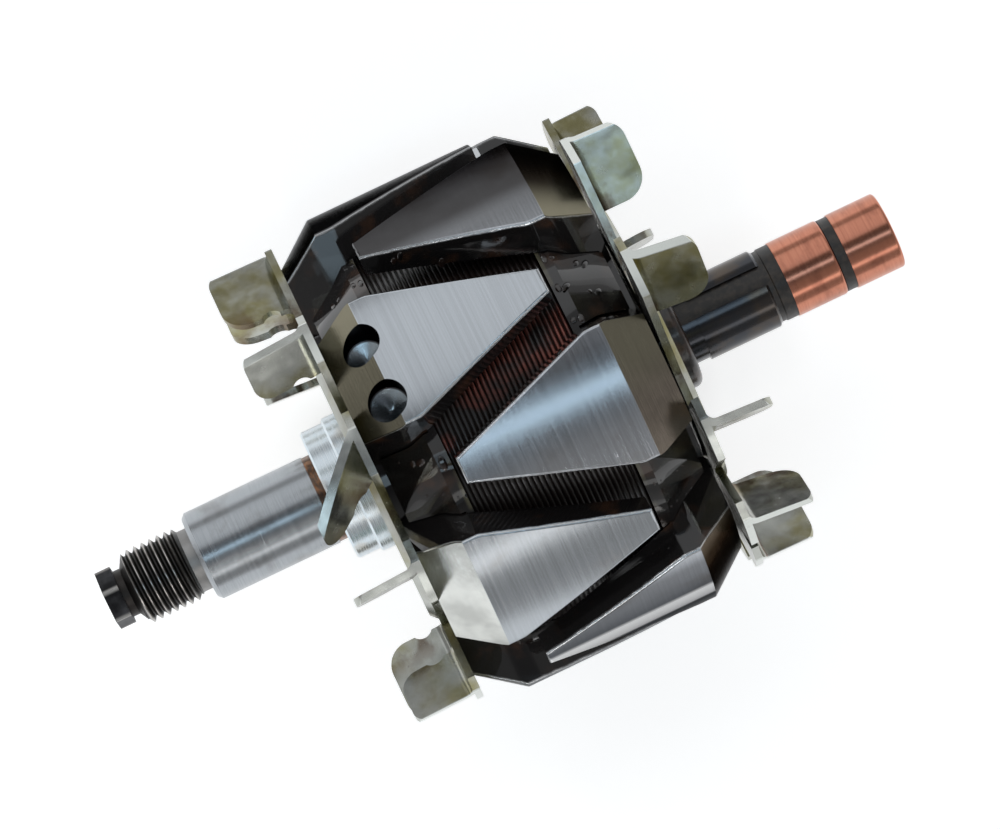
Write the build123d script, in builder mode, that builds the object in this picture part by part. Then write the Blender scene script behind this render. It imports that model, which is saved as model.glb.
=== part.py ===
from build123d import *
import math
import os

# Alternator rotor: a claw-pole field rotor with two sheet-metal fans, lying with its shaft along X.
# The pulley end points to -X and the slip rings to +X.
# The origin is the middle of the ground bearing journal at the drive end.
# Angles run about X from straight up (+Z) towards +Y.

# Drive-end half of the shaft, mm
HEX_ACROSS_FLATS = 9.9
HEX_LENGTH = 3.0
HEX_TURN = 14.0
NECK_RADIUS = 4.5
NECK_LENGTH = 1.4
LEAD_IN_LENGTH = 1.4
THREAD_RADIUS = 7.0
THREAD_PITCH = 1.5
THREAD_DEPTH = 0.92
THREAD_FLANK_ANGLE = 30
THREAD_CREST_SHARE = 0.125
THREAD_CUT_MARGIN = 0.3
THREAD_RUN_IN = 0.85
THREAD_RUN_OUT = 0.95
THREAD_LENGTH = 9.9
UNDERCUT_RADIUS = 5.95
UNDERCUT_LENGTH = 2.6
DRIVE_JOURNAL_RADIUS = 8.5
DRIVE_JOURNAL_LENGTH = 24.1
JOURNAL_CHAMFER = 0.8
POLE_SEAT_RADIUS = 8.8
UNGROUND_LENGTH = 1.6
UNGROUND_STEP = 0.2

# Slip-ring half of the shaft, mm
RING_JOURNAL_RADIUS = 7.5
RING_JOURNAL_LENGTH = 14.4
RELIEF_LENGTH = 2.9
RELIEF_STEP = 0.45
FAN_SEAT_RADIUS = 7.8
RING_JOURNAL_CHAMFER = 0.5
TAIL_RADIUS = 3.6
TAIL_MARGIN = 2.0
SLOT_WIDTH = 4.0
SLOT_FLOOR_RADIUS = 4.2
SLOT_ANGLE = 18.6
SLOT_START_DEPTH = 2.8

# Spacer collar, mm
COLLAR_SMALL_RADIUS = 12.5
COLLAR_SMALL_LENGTH = 4.4
COLLAR_LARGE_RADIUS = 13.2
COLLAR_LARGE_LENGTH = 4.0
COLLAR_CHAMFER = 0.4

# Claw poles, mm
CLAW_COUNT = 6
ROTOR_RADIUS = 46.5
BODY_LENGTH = 53.2
CONE_LENGTH = 8.0
CONE_DROP = 6.1
DISC_THICKNESS = 10.8
DISC_RADIUS = 30.0
TIP_MARGIN = 13.1
TIP_THICKNESS = 4.2
ROOT_THICKNESS = 6.6
CLAW_SHOULDER_LENGTH = 3.0
CLAW_SHOULDER_LEAD = 1.0
CLAW_CORNER_RADIUS = 4.0
CLAW_EDGE_RADIUS = 0.5
DRIVE_CLAW_ANGLE = 22.6
HUB_BOSS_RADIUS = 14.0
HUB_BOSS_HEIGHT = 0.9
CUT_MARGIN = 1.0
BALANCE_HOLE_RADIUS = 3.6
BALANCE_HOLE_DEPTH = 6.5
BALANCE_HOLE_SPREAD = 7.2
BALANCE_HOLE_SHIFT = -2.0
BALANCE_HOLE_STATION = 6.8
DRILL_POINT_ANGLE = 118.0

# Half widths of a claw, as shares of the pole pitch
CLAW_END_SHARE = 0.419
CLAW_ROOT_SHARE = 0.5175
CLAW_TIP_SHARE = 0.0986

# Field core, bobbin and winding, mm
CORE_RADIUS = 21.0
FIT_CLEARANCE = 0.1
BOBBIN_WALL = 1.4
FLANGE_THICKNESS = 1.3
PETAL_THICKNESS = 1.6
PETAL_END_RISE = 2.9
PETAL_END_MARGIN = 1.2
PETAL_SIDE_CLEARANCE = 0.35
PETAL_CROWN_LENGTH = 1.0
PETAL_BEND_RADIUS = 0.7
WINDING_MARGIN = 0.6
WINDING_CORNER = 1.0

# Fans, mm
FAN_THICKNESS = 1.4
FAN_DISC_RADIUS = 30.5
FAN_OUTER_RADIUS = 44.7
FAN_BEND_RADIUS = 1.6
FAN_BLADE_HEIGHT = 13.3
FAN_END_TURN = 4.3
FAN_SWEEP = 28.0
FAN_LOBE_WIDTH = 8.5
FAN_LOBE_SHARE = 1.95
FAN_ROOT_SHARE = 0.25
FAN_BEND_OVERLAP = 3.0
FAN_END_MARGIN = 0.4
FAN_OUTER_CORNER_SHARE = 0.26
FAN_INNER_CORNER_SHARE = 0.32
FAN_NOTCH_RADIUS = 2.1
FAN_NOTCH_HEIGHT = 5.2
FAN_NOTCH_OFFSET = 1.2
BEAD_INNER_RADIUS = 22.5
BEAD_OUTER_RADIUS = 28.5
BEAD_HEIGHT = 1.2

# Each fan blade: angle about the shaft, chord as a share of its reach beyond the disc, outward lean,
# and height as a share of the tallest. The uneven spacing keeps the fan from whistling on one note.
DRIVE_FAN_BLADES = [
    (8.0, 0.986, 42.0, 1.0),
    (37.0, 0.634, 4.0, 1.0),
    (98.0, 0.986, 5.0, 1.0),
    (121.0, 0.986, 5.0, 1.0),
    (152.0, 0.986, 4.0, 1.0),
    (187.0, 0.986, 5.0, 1.0),
    (254.0, 0.986, 5.0, 1.0),
    (285.0, 0.800, 5.0, 0.96),
    (335.0, 0.986, 3.0, 1.0),
]
RING_FAN_BLADES = [
    (18.0, 1.021, 7.0, 0.94),
    (57.5, 1.021, 4.0, 0.81),
    (101.0, 1.021, 4.0, 0.75),
    (156.0, 1.021, 4.0, 0.86),
    (187.0, 1.021, 4.0, 0.90),
    (254.0, 1.021, 4.0, 0.95),
    (281.0, 1.021, 5.0, 0.90),
    (304.5, 1.021, 8.0, 1.0),
    (336.0, 1.021, 3.0, 0.97),
]

# Slip rings, leads and what holds them, mm
RETAINER_RADIUS = 10.8
RETAINER_LENGTH = 4.8
RETAINER_CORNER = 1.6
MOULDING_NECK_RADIUS = 6.85
MOULDING_NECK_LENGTH = 0.9
MOULDING_SHOULDER_RADIUS = 7.05
MOULDING_SHOULDER_LENGTH = 2.4
RING_RADIUS = 7.25
RING_WALL = 1.0
INNER_RING_LENGTH = 9.9
SEPARATOR_LENGTH = 1.9
SEPARATOR_STEP = 0.25
OUTER_RING_LENGTH = 9.5
RING_END_CORNER = 0.6
LEAD_RADIUS = 0.7
LEAD_TRACK_RADIUS = 5.1
LEAD_COIL_RADIUS = 25.0
LEAD_BEND_RADIUS = 2.2
LEAD_DEPTH = 1.1
LEAD_CLEARANCE = 0.15
LEAD_INTO_FLANGE = 0.1
LUG_WIDTH = 2.0
LUG_LENGTH = 3.0
FILLER_SINK = 0.1

# How near a point must lie to count as on a station when edges and corners are picked, mm
PICK_TOLERANCE = 0.01

# Stations along X, worked out from the lengths above
journal_start = -DRIVE_JOURNAL_LENGTH / 2
journal_end = DRIVE_JOURNAL_LENGTH / 2
undercut_start = journal_start - UNDERCUT_LENGTH
thread_start = undercut_start - THREAD_LENGTH
lead_in_start = thread_start - LEAD_IN_LENGTH
neck_start = lead_in_start - NECK_LENGTH
tip_start = neck_start - HEX_LENGTH
collar_start = journal_end + UNGROUND_LENGTH
collar_step = collar_start + COLLAR_SMALL_LENGTH
collar_end = collar_step + COLLAR_LARGE_LENGTH
body_start = collar_end + FAN_THICKNESS
body_centre = body_start + BODY_LENGTH / 2
body_end = body_start + BODY_LENGTH
ring_fan_start = body_end + HUB_BOSS_HEIGHT
ring_fan_end = ring_fan_start + FAN_THICKNESS
retainer_end = ring_fan_end + RETAINER_LENGTH
ring_journal_start = retainer_end + RELIEF_LENGTH
ring_journal_end = ring_journal_start + RING_JOURNAL_LENGTH
shoulder_start = ring_journal_end + MOULDING_NECK_LENGTH
inner_ring_start = shoulder_start + MOULDING_SHOULDER_LENGTH
inner_ring_end = inner_ring_start + INNER_RING_LENGTH
outer_ring_start = inner_ring_end + SEPARATOR_LENGTH
outer_ring_end = outer_ring_start + OUTER_RING_LENGTH
half_window = BODY_LENGTH / 2 - DISC_THICKNESS
slot_start = body_end - SLOT_START_DEPTH
lead_turn_x = body_end - LEAD_DEPTH
ring_claw_angle = DRIVE_CLAW_ANGLE - 180 / CLAW_COUNT
ring_bore = RING_RADIUS - RING_WALL


def around(angle, radius, x=0.0):
    """The point at this angle about the shaft, this far from it."""
    turn = math.radians(angle)
    return Vector(x, radius * math.sin(turn), radius * math.cos(turn))


def spin_about_shaft(part, angle):
    """A copy of the part, turned from straight up to this angle."""
    return part.rotate(Axis.X, -angle)


def lead_path_points(ring_centre):
    """A lead's corners in the X-Z plane: out of the coil, down to the shaft, along to its ring."""
    return [
        (body_centre + half_window - FLANGE_THICKNESS + LEAD_INTO_FLANGE, LEAD_COIL_RADIUS),
        (lead_turn_x, LEAD_COIL_RADIUS),
        (lead_turn_x, LEAD_TRACK_RADIUS),
        (ring_centre, LEAD_TRACK_RADIUS),
    ]


def lead_solid(radius, ring_centre, label):
    """A round tube along a lead's path: the wire itself, or the tunnel that it runs in."""
    with BuildPart() as tube:
        with BuildLine(Plane.XZ) as route:
            FilletPolyline(*lead_path_points(ring_centre), radius=LEAD_BEND_RADIUS)
        with BuildSketch(Plane(origin=route.line @ 0, z_dir=route.line % 0)):
            Circle(radius)
        sweep(path=route.line)
    tube.part.label = label
    return tube.part


lead_angles = {"start_lead": SLOT_ANGLE, "finish_lead": SLOT_ANGLE + 180}
lead_targets = {
    "start_lead": (inner_ring_start + inner_ring_end) / 2,
    "finish_lead": (outer_ring_start + outer_ring_end) / 2,
}
lead_tunnels = [
    spin_about_shaft(
        lead_solid(LEAD_RADIUS + LEAD_CLEARANCE, lead_targets[name] + LUG_LENGTH / 2, "tunnel"), angle
    )
    for name, angle in lead_angles.items()
]

# Shaft
hex_corner_radius = HEX_ACROSS_FLATS / 2 / math.cos(math.pi / 6)
thread_minor_radius = THREAD_RADIUS - THREAD_DEPTH
thread_flank_slope = math.tan(math.radians(THREAD_FLANK_ANGLE))
thread_gap_half_width = THREAD_PITCH * (1 - THREAD_CREST_SHARE) / 2
thread_root_half_width = thread_gap_half_width - THREAD_DEPTH * thread_flank_slope
thread_cut_depth = THREAD_DEPTH + THREAD_CUT_MARGIN
thread_top_half_width = thread_root_half_width + thread_cut_depth * thread_flank_slope
thread_cut_start = lead_in_start - THREAD_RUN_IN
thread_cut_end = journal_start - THREAD_RUN_OUT
tail_end = outer_ring_end - TAIL_MARGIN
with BuildPart() as shaft:
    with BuildSketch(Plane.XY):
        with BuildLine():
            Polyline(
                (neck_start, 0),
                (neck_start, NECK_RADIUS),
                (lead_in_start, NECK_RADIUS),
                (thread_start, THREAD_RADIUS),
                (undercut_start, THREAD_RADIUS),
                (undercut_start + THREAD_PITCH / 2, UNDERCUT_RADIUS),
                (journal_start, UNDERCUT_RADIUS),
                (journal_start, DRIVE_JOURNAL_RADIUS - JOURNAL_CHAMFER),
                (journal_start + JOURNAL_CHAMFER, DRIVE_JOURNAL_RADIUS),
                (journal_end, DRIVE_JOURNAL_RADIUS),
                (journal_end, DRIVE_JOURNAL_RADIUS - UNGROUND_STEP),
                (collar_start, DRIVE_JOURNAL_RADIUS - UNGROUND_STEP),
                (collar_start, POLE_SEAT_RADIUS),
                (ring_fan_start, POLE_SEAT_RADIUS),
                (ring_fan_start, FAN_SEAT_RADIUS),
                (retainer_end, FAN_SEAT_RADIUS),
                (retainer_end, RING_JOURNAL_RADIUS - RELIEF_STEP),
                (ring_journal_start, RING_JOURNAL_RADIUS - RELIEF_STEP),
                (ring_journal_start, RING_JOURNAL_RADIUS),
                (ring_journal_end - RING_JOURNAL_CHAMFER, RING_JOURNAL_RADIUS),
                (ring_journal_end, RING_JOURNAL_RADIUS - RING_JOURNAL_CHAMFER),
                (ring_journal_end, TAIL_RADIUS),
                (tail_end, TAIL_RADIUS),
                (tail_end, 0),
                close=True,
            )
        make_face()
    revolve(axis=Axis.X)
    with BuildSketch(Plane.YZ.offset(tip_start)):
        RegularPolygon(hex_corner_radius, 6, rotation=HEX_TURN)
    extrude(amount=HEX_LENGTH)
    for angle in lead_angles.values():
        slot_plane = Plane(origin=(slot_start, 0, 0), x_dir=(1, 0, 0), z_dir=around(angle, 1))
        with BuildSketch(slot_plane.offset(SLOT_FLOOR_RADIUS)):
            Rectangle(
                ring_journal_end - slot_start,
                SLOT_WIDTH,
                align=(Align.MIN, Align.CENTER),
            )
        extrude(amount=POLE_SEAT_RADIUS, mode=Mode.SUBTRACT)
    with BuildLine():
        thread_helix = Helix(
            THREAD_PITCH,
            thread_cut_end - thread_cut_start,
            thread_minor_radius,
            center=(thread_cut_start, 0, 0),
            direction=(1, 0, 0),
        )
    with BuildSketch(Plane(origin=thread_helix @ 0, x_dir=(1, 0, 0), z_dir=thread_helix % 0)):
        with BuildLine():
            Polyline(
                (-thread_root_half_width, 0),
                (thread_root_half_width, 0),
                (thread_top_half_width, thread_cut_depth),
                (-thread_top_half_width, thread_cut_depth),
                close=True,
            )
        make_face()
    sweep(path=thread_helix, is_frenet=True, mode=Mode.SUBTRACT)
shaft.part.label = "shaft"

# Claw poles
half_body = BODY_LENGTH / 2
pole_pitch = math.pi * ROTOR_RADIUS / CLAW_COUNT
claw_end_half_width = CLAW_END_SHARE * pole_pitch
claw_root_half_width = CLAW_ROOT_SHARE * pole_pitch
claw_tip_half_width = CLAW_TIP_SHARE * pole_pitch
claw_tip_end = half_body - TIP_MARGIN
shoulder_front = -half_body + CONE_LENGTH - CLAW_SHOULDER_LEAD
shoulder_back = -half_body + CONE_LENGTH + CLAW_SHOULDER_LENGTH


def claw_plan(clearance, reach):
    """A claw seen from outside, grown by a clearance and cut off at a station along the shaft."""
    with BuildSketch(Plane.XY) as plan:
        with BuildLine():
            Polyline(
                (-half_body, claw_end_half_width),
                (shoulder_front, claw_root_half_width),
                (shoulder_back, claw_root_half_width),
                (claw_tip_end, claw_tip_half_width),
                (claw_tip_end, -claw_tip_half_width),
                (shoulder_back, -claw_root_half_width),
                (shoulder_front, -claw_root_half_width),
                (-half_body, -claw_end_half_width),
                close=True,
            )
        make_face()
        shoulders = plan.vertices().filter_by(
            lambda v: abs(abs(v.Y) - claw_root_half_width) < PICK_TOLERANCE
        )
        fillet(shoulders, CLAW_CORNER_RADIUS)
        if clearance > 0:
            offset(amount=clearance)
        with Locations((-BODY_LENGTH, 0)):
            Rectangle(
                BODY_LENGTH + reach,
                BODY_LENGTH,
                align=(Align.MIN, Align.CENTER),
                mode=Mode.INTERSECT,
            )
    return plan.sketch


def claw_pole(has_boss, hole_angles, first_angle):
    """One forged pole centred on the body: its end face towards -X and its claw tips towards +X."""
    with BuildPart() as claw:
        with BuildSketch(Plane.XZ):
            with BuildLine():
                Polyline(
                    (-half_body, DISC_RADIUS / 2),
                    (-half_body, ROTOR_RADIUS - CONE_DROP),
                    (-half_body + CONE_LENGTH, ROTOR_RADIUS),
                    (claw_tip_end, ROTOR_RADIUS),
                    (claw_tip_end, ROTOR_RADIUS - TIP_THICKNESS),
                    (-half_window, ROTOR_RADIUS - ROOT_THICKNESS),
                    (-half_window, DISC_RADIUS / 2),
                    close=True,
                )
            make_face()
        revolve(axis=Axis.X)
        add(claw_plan(0, BODY_LENGTH))
        extrude(amount=ROTOR_RADIUS + CUT_MARGIN, mode=Mode.INTERSECT)
        rim = claw.faces().filter_by(GeomType.CYLINDER).sort_by(Axis.Z)[-1]
        cone_edge = -half_body + CONE_LENGTH
        worn_edges = rim.edges().filter_by(lambda e: e.center().X > cone_edge + PICK_TOLERANCE)
        fillet(worn_edges, CLAW_EDGE_RADIUS)
    with BuildPart() as pole:
        with BuildSketch(Plane.YZ.offset(-half_body)):
            Circle(DISC_RADIUS)
        extrude(amount=DISC_THICKNESS)
        if has_boss:
            with BuildSketch(Plane.YZ.offset(-half_body - HUB_BOSS_HEIGHT)):
                Circle(HUB_BOSS_RADIUS)
            extrude(amount=HUB_BOSS_HEIGHT)
        for index in range(CLAW_COUNT):
            add(spin_about_shaft(claw.part, first_angle + index * 360 / CLAW_COUNT))
        with BuildSketch(Plane.YZ.offset(-half_body - HUB_BOSS_HEIGHT)):
            Circle(POLE_SEAT_RADIUS)
        extrude(amount=DISC_THICKNESS + HUB_BOSS_HEIGHT, mode=Mode.SUBTRACT)
        for angle in hole_angles:
            hole_plane = Plane(
                origin=around(angle, ROTOR_RADIUS, -half_body + BALANCE_HOLE_STATION),
                x_dir=(1, 0, 0),
                z_dir=around(angle, -1),
            )
            point_depth = BALANCE_HOLE_RADIUS / math.tan(math.radians(DRILL_POINT_ANGLE / 2))
            with BuildSketch(hole_plane.offset(-CUT_MARGIN)):
                Circle(BALANCE_HOLE_RADIUS)
            extrude(amount=BALANCE_HOLE_DEPTH + CUT_MARGIN, mode=Mode.SUBTRACT)
            with Locations(hole_plane.offset(BALANCE_HOLE_DEPTH + point_depth / 2)):
                Cone(BALANCE_HOLE_RADIUS, 0, point_depth, mode=Mode.SUBTRACT)
    return pole.part


balance_angle = DRIVE_CLAW_ANGLE + BALANCE_HOLE_SHIFT
balance_angles = [balance_angle - BALANCE_HOLE_SPREAD, balance_angle + BALANCE_HOLE_SPREAD]
drive_pole_blank = claw_pole(False, balance_angles, DRIVE_CLAW_ANGLE)
with BuildPart() as drive_end_pole:
    add(Pos(body_centre, 0, 0) * drive_pole_blank)
drive_end_pole.part.label = "drive_end_pole"

ring_pole_blank = mirror(claw_pole(True, [], ring_claw_angle), about=Plane.YZ)
lead_groove_width = 2 * (LEAD_RADIUS + LEAD_CLEARANCE)
with BuildPart() as slip_ring_end_pole:
    add(Pos(body_centre, 0, 0) * ring_pole_blank)
    for tunnel in lead_tunnels:
        add(tunnel, mode=Mode.SUBTRACT)
    for angle in lead_angles.values():
        groove_plane = Plane(origin=(body_end, 0, 0), x_dir=around(angle, 1), z_dir=(-1, 0, 0))
        with BuildSketch(groove_plane):
            Rectangle(LEAD_COIL_RADIUS, lead_groove_width, align=(Align.MIN, Align.CENTER))
        extrude(amount=LEAD_DEPTH, mode=Mode.SUBTRACT)
slip_ring_end_pole.part.label = "slip_ring_end_pole"

# Field core, pressed between the two poles
with BuildPart() as field_core:
    with BuildSketch(Plane.YZ.offset(body_centre - half_window)):
        Circle(CORE_RADIUS)
        Circle(POLE_SEAT_RADIUS, mode=Mode.SUBTRACT)
    extrude(amount=2 * half_window)
field_core.part.label = "field_core"

# Bobbin: a tube with two flanges, each with petals that fold out over the valleys between the claws
bobbin_bore = CORE_RADIUS + FIT_CLEARANCE
bobbin_half = half_window - FIT_CLEARANCE
petal_outer = ROTOR_RADIUS - ROOT_THICKNESS - FIT_CLEARANCE
petal_end = -half_body + PETAL_END_MARGIN
petal_floor = DISC_RADIUS + FIT_CLEARANCE
petal_end_radius = petal_floor + PETAL_END_RISE
petal_crown = -bobbin_half - PETAL_CROWN_LENGTH
with BuildPart() as petal_hood:
    with BuildSketch(Plane.XZ) as hood_section:
        with BuildLine():
            Polyline(
                (petal_end, petal_floor),
                (petal_end, petal_end_radius),
                (petal_crown, petal_outer),
                (-bobbin_half, petal_outer),
                (-bobbin_half, petal_outer - PETAL_THICKNESS),
                (petal_crown, petal_outer - PETAL_THICKNESS),
                (petal_end + PETAL_THICKNESS, petal_end_radius - PETAL_THICKNESS / 2),
                (petal_end + PETAL_THICKNESS, petal_floor),
                close=True,
            )
        make_face()
        bends = hood_section.vertices().filter_by(
            lambda v: v.Z > petal_floor and v.X < petal_crown + PICK_TOLERANCE
        )
        fillet(bends, PETAL_BEND_RADIUS)
    revolve(axis=Axis.X)
    for index in range(CLAW_COUNT):
        keep_clear = extrude(
            claw_plan(PETAL_SIDE_CLEARANCE, half_body), amount=ROTOR_RADIUS, mode=Mode.PRIVATE
        )
        add(spin_about_shaft(keep_clear, index * 360 / CLAW_COUNT), mode=Mode.SUBTRACT)


def bobbin_half_part(first_angle):
    """Half of the bobbin at -X: half the tube, a flange and its six petals."""
    with BuildPart() as side:
        with BuildSketch(Plane.YZ.offset(-bobbin_half)):
            Circle(bobbin_bore + BOBBIN_WALL)
            Circle(bobbin_bore, mode=Mode.SUBTRACT)
        extrude(amount=bobbin_half)
        with BuildSketch(Plane.YZ.offset(-bobbin_half)):
            Circle(petal_outer)
            Circle(bobbin_bore, mode=Mode.SUBTRACT)
        extrude(amount=FLANGE_THICKNESS)
        add(spin_about_shaft(petal_hood.part, first_angle))
    return side.part


drive_half_bobbin = bobbin_half_part(DRIVE_CLAW_ANGLE)
ring_half_bobbin = mirror(bobbin_half_part(ring_claw_angle), about=Plane.YZ)
with BuildPart() as coil_bobbin:
    add(Pos(body_centre, 0, 0) * drive_half_bobbin)
    add(Pos(body_centre, 0, 0) * ring_half_bobbin)
    for tunnel in lead_tunnels:
        add(tunnel, mode=Mode.SUBTRACT)
coil_bobbin.part.label = "coil_bobbin"

# Winding: the turns of the field coil, filling the bobbin between its flanges
winding_half = bobbin_half - FLANGE_THICKNESS
winding_radius = petal_outer - PETAL_THICKNESS - WINDING_MARGIN
with BuildPart() as field_winding:
    with BuildSketch(Plane.YZ.offset(body_centre - winding_half)):
        Circle(winding_radius)
        Circle(bobbin_bore + BOBBIN_WALL, mode=Mode.SUBTRACT)
    extrude(amount=2 * winding_half)
    outer_face = field_winding.faces().filter_by(GeomType.CYLINDER).sort_by(SortBy.AREA)[-1]
    fillet(outer_face.edges().filter_by(GeomType.CIRCLE), WINDING_CORNER)
field_winding.part.label = "field_winding"

# Spacer collar between the drive-end bearing and the fan
with BuildPart() as spacer_collar:
    with BuildSketch(Plane.YZ.offset(collar_start)):
        Circle(COLLAR_SMALL_RADIUS)
    extrude(amount=COLLAR_SMALL_LENGTH)
    with BuildSketch(Plane.YZ.offset(collar_step)):
        Circle(COLLAR_LARGE_RADIUS)
    extrude(amount=COLLAR_LARGE_LENGTH)
    front_rim = spacer_collar.faces().sort_by(Axis.X)[0].edges()
    widest_rims = spacer_collar.edges().filter_by(GeomType.CIRCLE).group_by(SortBy.RADIUS)[-1]
    step_rim = widest_rims.sort_by(Axis.X)[0]
    chamfer([*front_rim, step_rim], COLLAR_CHAMFER)
    with BuildSketch(Plane.YZ.offset(collar_start)):
        Circle(POLE_SEAT_RADIUS)
    extrude(amount=COLLAR_SMALL_LENGTH + COLLAR_LARGE_LENGTH, mode=Mode.SUBTRACT)
spacer_collar.part.label = "spacer_collar"


fan_reach = FAN_OUTER_RADIUS - FAN_DISC_RADIUS


def fan_blade(angle, chord, lean, height, has_notch):
    """A blade pressed out of the fan plate: a bent strip, trimmed to its rounded outline."""
    along = around(angle + FAN_SWEEP, 1)
    outward = around(angle + FAN_SWEEP - 90, 1)
    outer_end = around(angle + FAN_END_TURN, FAN_OUTER_RADIUS - FAN_END_MARGIN)
    middle = outer_end - along * (chord / 2)
    turn = math.radians(90 - lean)
    outside = FAN_BEND_RADIUS + FAN_THICKNESS
    rise = (height - outside * (1 - math.cos(turn))) / math.sin(turn)
    bend_centre = Vector(0, outside)
    heading = Vector(math.cos(turn), math.sin(turn))
    inward = Vector(-math.sin(turn), math.cos(turn))
    outside_end = bend_centre - inward * outside
    inside_end = bend_centre - inward * FAN_BEND_RADIUS
    with BuildPart() as blade:
        with BuildSketch(Plane(origin=middle - along * (chord / 2), x_dir=outward, z_dir=along)):
            with BuildLine():
                Polyline(
                    (0, FAN_THICKNESS),
                    (-FAN_BEND_OVERLAP, FAN_THICKNESS),
                    (-FAN_BEND_OVERLAP, 0),
                    (0, 0),
                )
                TangentArc((0, 0), outside_end, tangent=(1, 0))
                Polyline(
                    outside_end,
                    outside_end + heading * rise,
                    outside_end + heading * rise + inward * FAN_THICKNESS,
                    inside_end,
                )
                TangentArc((0, FAN_THICKNESS), inside_end, tangent=(1, 0))
            make_face()
        extrude(amount=chord)
        with BuildSketch(Plane(origin=middle, x_dir=along, z_dir=-outward)) as outline:
            with Locations((0, height / 2)):
                Rectangle(chord, height)
            outer_corner = outline.vertices().group_by(Axis.Y)[-1].sort_by(Axis.X)[-1]
            fillet(outer_corner, FAN_OUTER_CORNER_SHARE * chord)
            inner_corner = outline.vertices().group_by(Axis.Y)[-1].sort_by(Axis.X)[0]
            fillet(inner_corner, FAN_INNER_CORNER_SHARE * chord)
            if has_notch:
                with Locations((-chord / 2 - FAN_NOTCH_OFFSET, FAN_NOTCH_HEIGHT)):
                    Circle(FAN_NOTCH_RADIUS, mode=Mode.SUBTRACT)
        extrude(amount=2 * height, both=True, mode=Mode.INTERSECT)
        with BuildSketch(Plane.YZ):
            Circle(FAN_OUTER_RADIUS)
        extrude(amount=height, mode=Mode.INTERSECT)
    return blade.part


def fan_lobe_plane(angle, chord):
    """The plane of the fan plate, centred on a blade's bend line and turned along it."""
    along = around(angle + FAN_SWEEP, 1)
    outer_end = around(angle + FAN_END_TURN, FAN_OUTER_RADIUS - FAN_END_MARGIN)
    return Plane(origin=outer_end - along * (chord / 2), x_dir=along, z_dir=(1, 0, 0))


def fan(blades, bore_radius, has_notches):
    """A pressed fan with its inner face at X = 0 and its blades towards +X."""
    blade_parts = [
        fan_blade(angle, share * fan_reach, lean, height_share * FAN_BLADE_HEIGHT, has_notches)
        for angle, share, lean, height_share in blades
    ]
    with BuildPart() as lobes:
        for angle, share, lean, height_share in blades:
            chord = share * fan_reach
            with BuildSketch(fan_lobe_plane(angle, chord)):
                with Locations((chord / 2, 0)):
                    Rectangle(
                        FAN_LOBE_SHARE * fan_reach,
                        FAN_LOBE_WIDTH,
                        align=(Align.MAX, Align.MIN),
                    )
                with Locations((-chord / 2, -FAN_BEND_RADIUS - FAN_THICKNESS)):
                    Rectangle(
                        FAN_ROOT_SHARE * fan_reach,
                        FAN_LOBE_WIDTH,
                        align=(Align.MAX, Align.MIN),
                    )
            extrude(amount=FAN_THICKNESS)
        with BuildSketch(Plane.YZ):
            Circle(FAN_OUTER_RADIUS)
            Circle(FAN_DISC_RADIUS - CUT_MARGIN, mode=Mode.SUBTRACT)
        extrude(amount=FAN_THICKNESS, mode=Mode.INTERSECT)
    with BuildPart() as pressed_fan:
        with BuildSketch(Plane.XY):
            with BuildLine():
                Polyline(
                    (0, bore_radius),
                    (0, BEAD_INNER_RADIUS),
                    (BEAD_HEIGHT, BEAD_INNER_RADIUS + BEAD_HEIGHT),
                    (BEAD_HEIGHT, BEAD_OUTER_RADIUS - BEAD_HEIGHT),
                    (0, BEAD_OUTER_RADIUS),
                    (0, FAN_DISC_RADIUS),
                    (FAN_THICKNESS, FAN_DISC_RADIUS),
                    (FAN_THICKNESS, BEAD_OUTER_RADIUS),
                    (FAN_THICKNESS + BEAD_HEIGHT, BEAD_OUTER_RADIUS - BEAD_HEIGHT),
                    (FAN_THICKNESS + BEAD_HEIGHT, BEAD_INNER_RADIUS + BEAD_HEIGHT),
                    (FAN_THICKNESS, BEAD_INNER_RADIUS),
                    (FAN_THICKNESS, bore_radius),
                    close=True,
                )
            make_face()
        revolve(axis=Axis.X)
        add(lobes.part)
        for blade in blade_parts:
            add(blade)
    return pressed_fan.part


drive_fan_blank = mirror(fan(DRIVE_FAN_BLADES, POLE_SEAT_RADIUS, True), about=Plane.YZ)
with BuildPart() as drive_end_fan:
    add(Pos(body_start, 0, 0) * drive_fan_blank)
drive_end_fan.part.label = "drive_end_fan"

with BuildPart() as slip_ring_end_fan:
    add(Pos(ring_fan_start, 0, 0) * fan(RING_FAN_BLADES, FAN_SEAT_RADIUS, False))
slip_ring_end_fan.part.label = "slip_ring_end_fan"

# Lead retainer: the dark ring that clamps the leads down where they enter the shaft slots
with BuildPart() as lead_retainer:
    with BuildSketch(Plane.YZ.offset(ring_fan_end)):
        Circle(RETAINER_RADIUS)
    extrude(amount=RETAINER_LENGTH)
    fillet(lead_retainer.faces().sort_by(Axis.X)[-1].edges(), RETAINER_CORNER)
    with BuildSketch(Plane.YZ.offset(ring_fan_end)):
        Circle(FAN_SEAT_RADIUS)
    extrude(amount=RETAINER_LENGTH, mode=Mode.SUBTRACT)
lead_retainer.part.label = "lead_retainer"

# Slip-ring moulding: the black insulating sleeve on the shaft's tail
ring_spans = {
    "slip_ring_inner": (inner_ring_start, INNER_RING_LENGTH, "start_lead"),
    "slip_ring_outer": (outer_ring_start, OUTER_RING_LENGTH, "finish_lead"),
}
lug_floor = LEAD_TRACK_RADIUS + LEAD_RADIUS


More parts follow.
